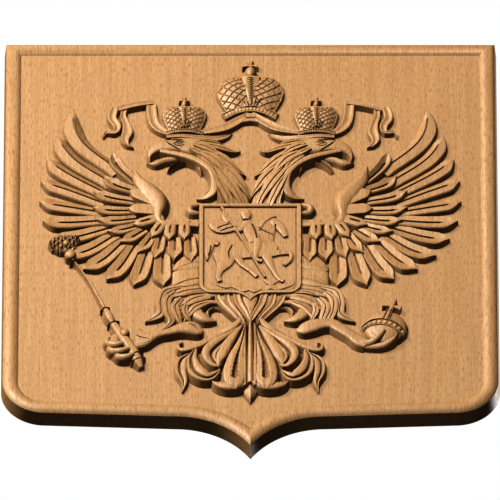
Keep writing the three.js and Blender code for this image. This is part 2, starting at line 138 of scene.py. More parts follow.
def makeBoard():
    slope = radians(board["beadSlope"])
    radius = board["beadWidth"] / 2 / sin(slope)
    steps = board["beadSteps"]
    rings = [boardRing(0, 0)]
    for i in range(2 * steps + 1):
        angle = slope * (i / steps - 1)
        inset = board["edgeDraft"] + board["beadWidth"] / 2 + radius * sin(angle)
        rings.append(boardRing(inset, board["field"] + radius * (cos(angle) - cos(slope))))
    shell = rolledShell("board", rings)
    reach = int(board["halfHeight"] / board["cell"]) + 1
    wide = (1.5 * board["cell"] * part) ** 2
    for normal in ((1, 0, 0), (0, 0, 1)):            # both wide faces are cut into small cells
        for k in range(-reach, reach + 1):
            for face in shell.data.polygons:
                face.select = face.area > wide and abs(face.normal.y) > board["flatFrom"]
            bpy.ops.object.mode_set(mode="EDIT")
            middle = [(k + board["cellShift"]) * board["cell"] * part * way for way in normal]
            bpy.ops.mesh.bisect(plane_co=middle, plane_no=normal)
            bpy.ops.object.mode_set(mode="OBJECT")
    return shell


# Tops: each gives [across, height] from one wall to the other for a half width and a crest.
# ahead is the distance to the stroke's tip.

def ovalTop(half, crest, ahead, edge=0.42, fullness=0.6, count=9):
    columns = []
    for i in range(count):
        across = -cos(pi * i / (count - 1))
        columns.append((across * half, crest * (edge + (1 - edge) * (1 - across ** 2) ** fullness)))
    return columns


def roofTop(half, crest, ahead, edge=0.55, fall=1.35):
    shares = (-1, -0.82, -0.4, 0, 0.4, 0.82, 1)
    return [(a * half, crest * (edge + (1 - edge) * (1 - abs(a) ** fall))) for a in shares]


# Two like sides and what lies between them
def twoSides(side, between=()):
    return side + list(between) + [(-across, height) for across, height in reversed(side)]


def bevelOf(half, share=0.3, most=0.8):
    return min(most, half * share)


def flatTop(half, crest, ahead):
    soft = bevelOf(half)
    return twoSides([(-half, crest - soft * 0.8), (-half + soft, crest)])


# How far a groove that starts some way behind the tip has opened
def opened(ahead, start, ramp=1.6):
    return max(0.0, min(1.0, (ahead - start) / ramp))


# 1 along a stroke, less within a stretch of its tip or where it is narrower than full
def faded(ahead, stretch, half, full):
    return min(1, ahead / stretch) * min(1, half / full)


# An upright slot between two lips: at is its middle, lips their height, slot how far it has opened
def slotPoints(at, lips, widest, deepest, slot, closed=0.2):
    width = widest * (closed + (1 - closed) * slot)
    floor = lips - (0.02 + deepest * slot)
    return [(at - width, lips), (at - width * 0.6, floor), (at + width * 0.6, floor), (at + width, lips)]


# Two shallow halves that dip to a slot, with a narrow bevel along both edges.
# slant lifts the edge on the left hand of the path and lowers the other one.
def featherTop(half, crest, ahead, dip=0.7, cut=2.3, slotFrom=13, slant=0.0):
    bevel = bevelOf(half)
    fade = faded(ahead, 8, half, 5)
    lips = crest - dip * fade
    raised, lowered = crest + slant * fade, crest - slant * fade
    return [
        (-half, raised - bevel), (-half + bevel, raised), (-half * 0.5, (raised + lips) / 2),
        *slotPoints(0, lips, min(0.95, half * 0.2), cut, opened(ahead, slotFrom)),
        (half * 0.5, (lowered + lips) / 2), (half - bevel, lowered), (half, lowered - bevel),
    ]


# A half that lies nearly flat, a slot, and a half that falls away behind it
def bladeTop(half, crest, ahead, keel=0.3, fall=0.42, cut=1.5, slotFrom=11):
    bevel = bevelOf(half, 0.25)
    fade = faded(ahead, 12, half, 5)
    middle = keel * half
    rest = half - middle
    drop = fall * rest * fade
    edge = crest - 0.5 * fade
    return [
        (-half, edge - bevel), (-half + bevel, edge), (-half * 0.4, crest - 0.2 * fade),
        *slotPoints(middle, crest, min(0.8, half * 0.2), cut, opened(ahead, slotFrom)),
        (middle + rest * 0.35, crest - drop * 0.3), (middle + rest * 0.7, crest - drop * 0.66),
        (half, crest - drop - 0.3),
    ]


# A fat petal with a short slot, or with none and a sharper edge where slotLength is 0
def petalTop(half, crest, ahead, slotFrom=6, slotLength=8, cut=2.4):
    slot = max(0, min(opened(ahead, slotFrom, 1.5), 1 - opened(ahead, slotFrom + slotLength, 2)))
    slot *= min(1, slotLength)
    soft = 1.7 if slotLength else 0.6
    side = [(-half, crest - soft), (-half * 0.86, crest - soft * 0.4), (-half * 0.62, crest - 0.1)]
    return twoSides(side, slotPoints(0, crest, 1, cut, slot, closed=0.3))


# Flat on top, rounding down steeply on the side away from the feathers
def armTop(half, crest, ahead):
    shape = ((-1, 0.04), (-0.92, 0.25), (-0.83, 0.44), (-0.72, 0.61), (-0.6, 0.75), (-0.46, 0.87),
             (-0.3, 0.95), (-0.12, 0.99), (0.08, 1), (0.4, 0.965), (0.75, 0.9), (1, 0.8))
    return [(across * half, crest * rise) for across, rise in shape]


# A ribbon's face: nearly flat, a little hollow along its middle
def ribbonTop(half, crest, ahead, hollow=0.7):
    shape = ((-1, 0.35), (-0.86, 0), (-0.62, 0.05), (-0.3, 0.7), (0, 1), (0.3, 0.8), (0.62, 0.2),
             (0.86, 0), (1, 0.35))
    return [(across * half, crest - hollow * sink) for across, sink in shape]


# Flat over most of its width and rounded down at the edges
def fullTop(half, crest, ahead, edge=0.62):
    side = [(-1, 0), (-0.94, 0.38), (-0.82, 0.7), (-0.6, 0.92), (-0.3, 1)]
    return [(across * half, crest * (edge + (1 - edge) * rise)) for across, rise in twoSides(side)]


# A lobe of a crown: it swells from its outer edge and is quilted with crossed grooves
def quiltTop(half, crest, ahead, inner=1, pitch=5, depth=0.9, slope=0.8, grooveShare=0.1, count=41):
    columns = []
    for i in range(count):
        a = 2 * i / (count - 1) - 1
        across = a * half
        swell = 0.5 + 0.5 * sin(pi / 2 * min(1, (1 + a * inner) * 0.85))
        grooves = 0
        for way in (1, -1):
            share = (across * way * slope + ahead) / pitch % 1
            grooves = max(grooves, 1 - min(share, 1 - share) / grooveShare)
        edge = min(1, (1 - abs(a)) * half / 1.6)
        columns.append((across, crest * swell - depth * grooves * edge))
    return columns


# A band with a raised lip along both edges and a row of beads between them
def beadedTop(half, crest, ahead, pitch=3, lip=0.3, beads=0.9, sunk=0.8):
    low = crest - sunk
    bead = beads * abs(sin(pi * ahead / pitch)) ** 0.5
    side = [(-half, crest - 0.5), (-half * 0.9, crest), (-half * (1 - lip), crest),
            (-half * (0.9 - lip), low), (-half * 0.35, low + bead * 0.8)]
    return twoSides(side, [(0, low + bead)])


# A fat leaf with a deep fold along it, right of its middle where rim is 1 and left of it where rim is -1
def spoonTop(half, crest, ahead, rim=1, dip=4.2, lip=0.4):
    fade = faded(ahead, 7, half, 6)
    shape = ((-1, 0.42), (-0.93, 0.2), (-0.82, 0.07), (-0.6, 0.01), (-0.3, 0.03), (-0.04, 0.13), (0.06, 0.25),
             (0.2, 1), (0.32, 1), (0.46, 0.22), (0.6, 0.08), (0.82, 0.07), (0.93, 0.2), (1, 0.42))
    columns = [(rim * across * half, crest - dip * fade * sink - lip * (abs(across) == 1))
               for across, sink in shape]
    return columns if rim > 0 else columns[::-1]


# A broad petal with a rough-edged slot that widens towards the tip
def fanTop(half, crest, ahead, slotFrom=9, cut=5.5):
    slot = opened(ahead, slotFrom, 3)
    width = slot * max(0.4, 3 - 0.07 * (ahead - slotFrom)) + 0.2
    width *= 1 + 0.22 * sin(2.3 * ahead)
    middle = -0.06 * half
    floor = crest - 0.02 - cut * slot * min(1, width / 2)
    soft = bevelOf(half, most=1.6)
    side = [(-half, crest - 1.5), (-half + soft * 0.4, crest - 0.6), (-half + soft, crest - 0.2),
            (-half * 0.4, crest + 0.2)]
    return twoSides(side, [(middle - width, crest), (middle - width * 0.2, floor),
                           (middle + width * 0.2, floor), (middle + width, crest)])


# A rough knob, its top broken up by small pits
def raggedTop(half, crest, ahead, rough=2.9, most=10.6, count=19):
    rim = 1 + 0.1 * sin(4.3 * ahead)
    columns = []
    for i in range(count):
        across = 2 * i / (count - 1) - 1
        pit = sin(1.2 * ahead + 1.1 * i) * 0.6 + sin(0.8 * ahead - 1.5 * i + 1) * 0.4
        edge = 1 - 0.35 * abs(across) ** 3
        reach = half * across * (rim if abs(across) == 1 else 0.93)
        columns.append((reach, min(crest * edge + rough * (abs(pit) - 0.5), most)))
    return columns


# A lock of hair: it leans to one side and has one fine groove that closes towards the tip
def lockTop(half, crest, ahead, lean=1.0, cut=0.8):
    slot = faded(ahead, 7, half, 2.6)
    fine = 0.14 * half
    lip = crest - 0.25 * lean
    return [
        (-half, crest - 1.3), (-half * 0.86, crest - 0.35), (-half * 0.5, crest),
        (-fine, lip), (0, lip - cut * slot), (fine, crest - 0.35 * lean),
        (half * 0.5, crest - 0.6 * lean), (half * 0.86, crest - lean - 0.3), (half, crest - lean - 1.2),
    ]


# Strokes: a path of [x, z, half width, crest] rows, a smooth curve through them and a top swept along it

def pathAt(rows, share):
    spans = len(rows) - 1
    span = min(int(share * spans), spans - 1)
    t = share * spans - span
    a, b, c, d = (rows[max(0, min(spans, span + k))] for k in (-1, 0, 1, 2))
    return [
        0.5 * (2 * q + (r - p) * t + (2 * p - 5 * q + 4 * r - s) * t ** 2 + (3 * q - p - 3 * r + s) * t ** 3)
        for p, q, r, s in zip(a, b, c, d)
    ]


# Even steps along the path: each one's share of the path and its distance to the tip
def evenShares(rows, cell, samples=24, fewest=5):
    fine = samples * (len(rows) - 1)
    points = [pathAt(rows, i / fine) for i in range(fine + 1)]
    lengths = [0.0]
    for before, after in zip(points, points[1:]):
        lengths.append(lengths[-1] + hypot(after[0] - before[0], after[1] - before[1]))
    count = max(fewest, round(lengths[-1] / cell))
    shares = []
    k = 0
    for i in range(count + 1):
        wanted = lengths[-1] * i / count
        while k < fine - 1 and lengths[k + 1] < wanted:
            k += 1
        rest = (wanted - lengths[k]) / max(1e-9, lengths[k + 1] - lengths[k])
        shares.append(((k + min(1, rest)) / fine, lengths[-1] - wanted))
    return shares


# The columns of a top, set square across the path at a share of it
def ringAt(rows, share, columns, step=0.01):
    x, z = pathAt(rows, share)[:2]
    xa, za = pathAt(rows, max(0, share - step))[:2]
    xb, zb = pathAt(rows, min(1, share + step))[:2]
    length = hypot(xb - xa, zb - za)
    sideX, sideZ = (zb - za) / length, -(xb - xa) / length
    return [onField(x + sideX * across, z + sideZ * across, height) for across, height in columns]


# steep under 1 makes the walls more upright, for what lies on top of another stroke
def stroke(rows, top=roofTop, cell=1.7, steep=1.0, narrowest=0.25, **more):
    rings = []
    for share, ahead in evenShares(rows, cell):
        half, crest = pathAt(rows, share)[2:]
        half = max(narrowest, half)
        run = min(wall["draft"] * crest * wall["share"] * steep, half * (1 - wall["leastTop"]))
        foot = half + run * (wall["key"] / max(crest * wall["share"], 1))
        columns = top(half - run, crest, ahead, **more)
        rings.append(ringAt(rows, share, [(-foot, -wall["key"]), *columns, (foot, -wall["key"])]))
    return rolledShell("stroke", rings)


def strokes(paths, top=roofTop, **more):
    return [stroke(rows, top, **more) for rows in paths]


# A V-shaped cut along a path of [x, z, half width at its lip, floor] rows
def groove(rows, lip=3.0, cell=1.4):
    rings = []
    for share, ahead in evenShares(rows, cell):
        half, floor = pathAt(rows, share)[2:]
        rings.append(ringAt(rows, share, [(-half, floor + lip), (0, floor), (half, floor + lip)]))
    return rolledShell("groove", rings)


# A leaf from its root to its tip, bowed to one side, that narrows to a point over the last stretch
def leaf(root, tip, half, crest, bow=0, point=15, rootShare=0.8, count=14, tipDrop=0.9, blunt=0.9, sink=2.2):
    dx, dz = tip[0] - root[0], tip[1] - root[1]
    length = hypot(dx, dz)
    rows = []
    for i in range(count + 1):
        s = 1 - (1 - i / count) ** 1.5
        ahead = (1 - s) * length
        width = max(0.06, sin(pi / 2 * min(1, ahead / point)) ** blunt)
        width *= rootShare + (1 - rootShare) * min(1, s / 0.6)
        lean = bow * sin(pi * s ** 1.3)
        rows.append([root[0] + dx * s - dz / length * lean, root[1] + dz * s + dx / length * lean,
                     half * width, crest - tipDrop * (1 - min(1, ahead / 5)) - sink * (1 - s) ** 1.5])
    return rows


# Wings

wing = {
    "root": (-80, 27), "rootShift": 9.5, "count": 12, "bladeCount": 5, "slantCount": 4,
    "firstAngle": 117.7, "angleStep": 12.45, "angleGrowth": 0.13,
    "reach": 80, "extraReach": 57, "fade": 2.6, "lastDrop": 3.6,
    "half": 8.3, "extraHalf": 0.9, "halfFade": 3, "point": 11.5, "extraPoint": 13, "pointFade": 1.1,
    "crest": 5.6, "hiddenShare": 0.42, "slant": 0.9, "dip": 1.1,
    "keel": 0.12, "keelStep": 0.09, "fall": 0.66, "fallStep": 0.05,
    "bows": [12, 6.5, 2, -0.8, 0, 2.2, 3, 4.6, 3.6, 2.6, 1.2, -0.8],
    "coverts": [
        [-92, 66, -111.8, 98.5, 6.3], [-93, 56, -118.3, 71.7, 6.6], [-94, 44, -126.7, 54.8, 6.4],
        [-93, 34, -127.2, 36.4, 6.2], [-92, 25, -123.1, 22.4, 6.4], [-88, 18, -115.8, 9.6, 6.2],
        [-85, 13, -105.3, -2.5, 6.8], [-78, 8, -91, -14.5, 6.6], [-72, 6, -77, -20.6, 6.6],
        [-61, 4, -61.3, -22.5, 7.4], [-48.5, 4, -47.6, -24.5, 6.8],
    ],
    "covertDips": [2.6, 1.6] + [0.8] * 9, "covertCrest": 7, "covertBow": 3.5, "covertBowStep": 0.35,
    "smallCoverts": [
        [-72, 40, -97.5, 54, 7.2], [-71, 32, -99, 34, 7], [-71, 25, -94.6, 15.4, 6.6],
        [-70, 20, -79.4, 1.6, 6.6], [-64, 20, -65.4, -1.4, 6.5], [-53, 20, -53, -1, 6.5],
    ],
    "smallCrest": 8.4, "slotLengths": [0, 0, 8, 8, 8, 8],
    "arm": [
        [-94.8, 83.4, 0.8, 4.6], [-92.4, 74, 4.2, 7.4], [-88.4, 64.8, 7.6, 9.4], [-81.4, 56, 10, 10.2],
        [-74.6, 46.4, 10.4, 10], [-72.6, 36.6, 8.8, 9.8], [-73.6, 28, 6.6, 9.2], [-73.4, 21.6, 5.4, 8.6],
        [-69.4, 17.4, 4.4, 8.2], [-61, 16.6, 3.4, 7.8],
    ],
    "shoulder": [[-76, 16.8, 2.6, 7.4], [-66, 17.4, 3.4, 7.8], [-54, 16.4, 3.6, 7.8], [-42, 15.5, 3.6, 7.4]],
    "pectoral": [[-41, 40, 3, 5.6], [-48, 38, 4.4, 6.4], [-48, 32.5, 4.6, 6.2], [-41, 31, 3, 5.6]],
}


def flightRows(k):
    along = k / (wing["count"] - 1)
    angle = radians(wing["firstAngle"] + wing["angleStep"] * k + wing["angleGrowth"] * k * k)
    reach = wing["reach"] + wing["extraReach"] * exp(-k / wing["fade"]) - wing["lastDrop"] * along ** 6
    rootX = wing["root"][0] + wing["rootShift"] * along ** 4
    ends = [(rootX + reach * s * cos(angle), wing["root"][1] + reach * s * sin(angle))
            for s in (wing["hiddenShare"], 1)]
    half = wing["half"] + wing["extraHalf"] * exp(-k / wing["halfFade"])
    point = wing["point"] + wing["extraPoint"] * exp(-k / wing["pointFade"])
    return leaf(*ends, half, wing["crest"], wing["bows"][k], point)


def makeWing():
    pieces = []
    for k in range(wing["count"]):
        if k < wing["bladeCount"]:
            keel = wing["keel"] - wing["keelStep"] * k
            fall = wing["fall"] - wing["fallStep"] * k
            pieces.append(stroke(flightRows(k), bladeTop, keel=keel, fall=fall))
        else:
            slant = max(0, wing["slant"] * (1 - (k - wing["bladeCount"]) / wing["slantCount"]))
            pieces.append(stroke(flightRows(k), featherTop, dip=wing["dip"], slant=slant))
    for k, (x, z, tipX, tipZ, half) in enumerate(wing["coverts"]):
        bow = wing["covertBow"] - wing["covertBowStep"] * k
        rows = leaf((x, z), (tipX, tipZ), half, wing["covertCrest"], bow, point=11)
        pieces.append(stroke(rows, featherTop, dip=wing["covertDips"][k], slotFrom=10))
    for k, (x, z, tipX, tipZ, half) in enumerate(wing["smallCoverts"]):
        rows = leaf((x, z), (tipX, tipZ), half, wing["smallCrest"], point=8, rootShare=1, blunt=0.7, sink=0.6)
        pieces.append(stroke(rows, petalTop, cell=1.2, slotLength=wing["slotLengths"][k]))
    return pieces + [stroke(wing["arm"], armTop), stroke(wing["shoulder"], flatTop),
                     stroke(wing["pectoral"], ovalTop)]


# Heads and necks

head = {
    "mass": [[-47, 104, 8, 5.6], [-36, 98, 11, 6.4], [-22, 80, 12, 6.8], [-15, 60, 12.5, 6.4],
             [-12, 36, 13, 6]],
    "skull": [[-34, 103, 9, 7.4], [-46, 105, 11, 8.2], [-58, 106, 9.5, 8.6], [-66, 106.5, 6.4, 8],
              [-71, 107, 3, 7]],
    "beak": [[-56, 103, 7, 8.8], [-66, 104.4, 8, 9], [-74, 103, 7.2, 8.6], [-79.4, 98.6, 5, 7.6],
             [-81.7, 93.4, 2.6, 6], [-81, 88.6, 0.4, 4.4]],
    "cheek": [[-73, 98.6, 3, 8], [-62, 94.6, 3.6, 9.4], [-49.4, 89.6, 4, 10.2], [-38.6, 82.6, 4.1, 10.2],
              [-31, 73, 4.2, 10], [-28.5, 62, 4.6, 9.4], [-30, 53.5, 4.4, 8], [-36, 48.5, 3, 5.6],
              [-43.5, 48, 0.6, 3]],
    "jaw": [[-47, 91, 3, 5.4], [-57, 92.5, 4, 5.8], [-68, 91, 4.6, 6], [-77, 86.5, 4, 5.8],
            [-84, 87.5, 0.6, 3.6]],
    "beard": [
        [[-50, 92, 1.8, 5.4], [-58, 89.5, 2.2, 5.6], [-64, 85, 2.2, 5.2], [-67, 78.5, 0.5, 3.6]],
        [[-48, 89, 1.4, 5], [-56, 86.5, 1.7, 5.2], [-61.5, 83, 1.7, 4.8], [-65.5, 77.5, 0.4, 3.4]],
    ],
    "throat": [[-46, 90, 3.4, 6.4], [-42, 83, 3.2, 6.4], [-39.6, 75, 0.6, 4.4]],
    "fold": [[-37, 78, 1.4, 5.4], [-32.5, 68, 1.7, 5.4], [-32, 59, 1.7, 5], [-36.5, 53, 0.5, 3.4]],
    "locks": [
        [[-41, 111, 2.6, 7.4], [-30, 110, 3, 6.6], [-18.5, 104.5, 0.5, 3]],
        [[-43, 107, 4, 8.2], [-25, 103, 4, 7], [-14, 99.5, 2.4, 5], [-8, 101.5, 0.5, 2.6]],
        [[-45, 105, 3.4, 8.6], [-34, 100.4, 5, 9], [-21, 90, 0.6, 7]],
        [[-49, 100, 2.4, 8.8], [-41, 95.4, 4.2, 9.2], [-29, 86, 0.5, 8]],
        [[-36, 99, 4.4, 8], [-22, 89.4, 5.6, 8.2], [-10, 77, 3.4, 6.4], [-3.4, 73, 0.5, 3]],
        [[-40, 96, 4, 8.8], [-28, 87, 6, 9.4], [-15.5, 68.5, 0.6, 7.2]],
        [[-43, 92, 3, 9.2], [-34, 85, 4.8, 9.8], [-24.6, 70, 0.5, 8.4]],
        [[-24, 84, 4, 7.6], [-12, 68, 5.8, 8.4], [-2.6, 52, 2.6, 6.8], [0.6, 44, 0.6, 5.6]],
        [[-28, 80, 4, 8.4], [-18, 64, 6, 9.6], [-9, 46, 4, 8.2], [-6, 36, 3, 7]],
        [[-31, 74, 2, 9], [-24, 60, 4.6, 9.8], [-17.5, 44, 4.4, 8.6], [-15, 36, 3.6, 7.4]],
        [[-27, 60, 1, 8.2], [-24.6, 50, 2.6, 8.4], [-22.6, 42, 2.6, 7.6], [-23, 36, 2.2, 7]],
    ],
    "brow": [[-64, 110.6, 1.2, 9.4], [-60, 109.4, 1.5, 10], [-54, 109, 0.5, 9]],
    "eye": [[-60.2, 105.4, 1.2, 9.6], [-57.4, 105.4, 1.8, 10], [-54.6, 105.8, 0.5, 9.2]],
    "cuts": [
        [[-62.2, 104.4, 0.9, 7.2], [-58, 107.9, 1.1, 6.6], [-52.6, 106.6, 0.7, 7.4]],
        [[-61.6, 103.6, 0.8, 7.6], [-57.2, 102.8, 1, 7], [-53, 104.6, 0.6, 7.6]],
        [[-77.4, 101, 1.1, 4.4], [-74.8, 101.8, 1.1, 4.8]],
        [[-69.6, 109.4, 0.5, 7.4], [-65, 104, 1, 6.6], [-57, 98.4, 1.1, 6.6], [-48.6, 94, 1, 7.2],
         [-42, 90, 0.4, 8.6]],
    ],
}


def makeHead():
    pieces = strokes([head["mass"], head["skull"], head["beak"]], fullTop)
    pieces += strokes([head["cheek"]], fullTop, steep=0.6, edge=0.82)
    pieces += strokes([head["jaw"], head["throat"], head["fold"]], ovalTop)
    pieces += strokes(head["beard"], cell=1.2)
    pieces += strokes(head["locks"], lockTop, cell=1.5, steep=0.5, lean=-1.3)
    return pieces + strokes([head["brow"], head["eye"]], ovalTop, cell=0.9, steep=0.2)


# Crowns

# A round boss of radius r
def ball(x, z, r, crest, edge=0.45, steep=1.0, steps=16):
    rows = []
    for i in range(steps + 1):
        angle = pi * i / steps
        rows.append([x, z - r * cos(angle), max(0.3, r * sin(angle)),
                     crest * (edge + (1 - edge) * sin(angle))])
    return stroke(rows, ovalTop, cell=r / 9, edge=edge, steep=steep, count=19)


# Places and half widths are shares of the half band and the height, and rises are shares of the crest.
# A crown's levels are the heights of its lobes' points.
crownForm = {
    "lobe": ((0.5, 0.5, 0.58), (0.6, 0.64, 0.82), (0.7, 0.73, 0.98), (0.68, 0.67, 1), (0.56, 0.46, 0.86),
             (0.46, 0.2, 0.7)),
    "panel": ((0, 0.14, 0.06, 0.8), (0, 0.55, 0.24, 1.06), (0, 0.98, 0.42, 1)),
    "arch": ((0, 0.24, 0.06, 0.96), (0, 0.55, 0.12, 1.16), (0, 0.92, 0.13, 1.1)),
    "darts": ((0.26, 0.36), (0.46, 0.32)),
    "dartLean": 0.4, "dartFoot": (0.1, 0.1, 0.8), "dartTip": (0.03, 0.94),
    "post": ((0, 1.24, 0.06, 0.5), (0, 1.36, 0.08, 0.6), (0, 1.52, 0.17, 0.6)),
    "arms": ((-0.34, 1.38, 0.15, 0.6), (0, 1.38, 0.07, 0.6), (0.34, 1.38, 0.15, 0.6)),
    "knob": (0, 1.12, 0.36, 1.15), "bandHalf": 0.2,
    "archTop": 1.12, "archTopAt": 0.62, "archFall": 0.6,       # the arch's crest along the height
    "cutFrom": 0.3, "cutSpan": 0.6, "cutReach": 0.16, "cutDepth": 1.4,
}
largeCrown = {
    "middle": 0, "foot": 145.5, "halfBand": 19.5, "height": 37, "crest": 9, "pitch": 6.6, "quiltDepth": 1.25,
    "rows": 13, "cuts": 11, "levels": (0.04, 0.28, 0.55, 0.75, 0.92, 1),
    "band": ((-1.12, -0.13, 0.4), (-0.6, 0, 0.6), (0, 0.05, 0.7), (0.6, 0, 0.6), (1.12, -0.13, 0.4)),
}
smallCrown = {
    "middle": -53.5, "foot": 124.5, "halfBand": 13, "height": 24, "crest": 8, "pitch": 4.2, "quiltDepth": 1.1,
    "rows": 9, "cuts": 7, "levels": (0.04, 0.36, 0.7, 0.86, 0.97, 1.03),
    "band": ((-1.16, -0.24, 0.84), (-0.6, -0.19, 1), (0, -0.17, 1.06), (0.6, -0.19, 1), (1.16, -0.24, 0.84)),
}


def makeCrown(crown):
    halfBand, crest, pitch = crown["halfBand"], crown["crest"], crown["pitch"]

    def at(x, z, half, rise):
        return [crown["middle"] + x * halfBand, crown["foot"] + z * crown["height"],
                half * halfBand, rise * crest]

    def formed(name, top=roofTop, **more):
        return stroke([at(*row) for row in crownForm[name]], top, **more)

    pieces = []
    for side in (-1, 1):
        lobe = [at(side * x, z, half, rise) for z, (x, half, rise) in zip(crown["levels"], crownForm["lobe"])]
        pieces.append(stroke(lobe, quiltTop, cell=pitch / crown["rows"], steep=0.7, inner=-side,
                             pitch=pitch, depth=crown["quiltDepth"], count=5 * crown["rows"] + 1))
        for x, z in crownForm["darts"]:
            foot = at(side * x * crownForm["dartLean"], *crownForm["dartFoot"])
            pieces.append(stroke([foot, at(side * x, z, *crownForm["dartTip"])], steep=0.3, edge=0.85))
    pieces += [formed("panel", steep=0.3, edge=0.88), formed("arch", steep=0.1, edge=0.9)]
    band = [at(x, z, crownForm["bandHalf"], rise) for x, z, rise in crown["band"]]
    pieces.append(stroke(band, beadedTop, cell=pitch / 11, steep=0.5, pitch=pitch * 0.45))
    pieces.append(ball(*at(*crownForm["knob"])))
    return pieces + [formed("post", flatTop), formed("arms", flatTop)]


# Short cuts across the middle arch
def crownCuts(crown):
    cuts = []
    for i in range(crown["cuts"]):
        level = crownForm["cutFrom"] + crownForm["cutSpan"] * i / (crown["cuts"] - 1)
        top = crownForm["archTop"] - crownForm["archFall"] * abs(level - crownForm["archTopAt"]) ** 1.6
        floor = crown["crest"] * top - crownForm["cutDepth"]
        reach = crown["halfBand"] * crownForm["cutReach"]
        z = crown["foot"] + level * crown["height"]
        ends = [[crown["middle"] + side * reach, z, 0.9, floor] for side in (-1, 1)]
        cuts.append(groove(ends, lip=2))
    return cuts


# Ribbon

ribbon = {
    "sides": [
        [[-1, 143, 3, 5], [-9, 136, 4.6, 5], [-22, 127, 5, 5.2], [-42, 121, 3, 5]],
        [[-14.8, 123, 0.5, 2.4], [-19.5, 118.5, 2.6, 3.4], [-29, 114.6, 3.8, 5], [-43, 114, 3.6, 7.4],
         [-56, 114.4, 3.4, 8.6], [-68, 114, 3.2, 8]],
        [[-62, 120.5, 3, 4.4], [-70.5, 123.5, 4, 4.6], [-77, 130.5, 4.8, 4.8], [-79.6, 141, 5, 5],
         [-80.3, 153, 5, 5.2]],
        [[-78, 155, 3, 5.6], [-93, 152.6, 3.8, 5.8], [-107.5, 148, 3.8, 5.4]],
        [[-110, 149, 4.2, 5.6], [-112, 138, 4.4, 5.2], [-108, 129, 4.2, 5.2], [-109.5, 122.5, 3, 4.8],
         [-116.8, 122.6, 2.2, 4], [-119, 117, 0.5, 2.6]],
        [[-102, 151, 3.4, 4.6], [-103, 140.5, 3.2, 4.8], [-100.5, 131, 4, 5.2], [-99.5, 122.5, 5.2, 5.4],
         [-101.5, 114.5, 4.2, 5], [-99.5, 108.6, 2.4, 4.2], [-94.5, 105.6, 0.5, 2.8]],
    ],
    "middle": [[[-4, 140, 3.6, 6], [4, 140, 3.6, 6]],
               [[-9, 134, 2.4, 4.6], [0, 136, 2.6, 5], [9, 134, 2.4, 4.6]]],
}


# Thighs, scrolls and tail

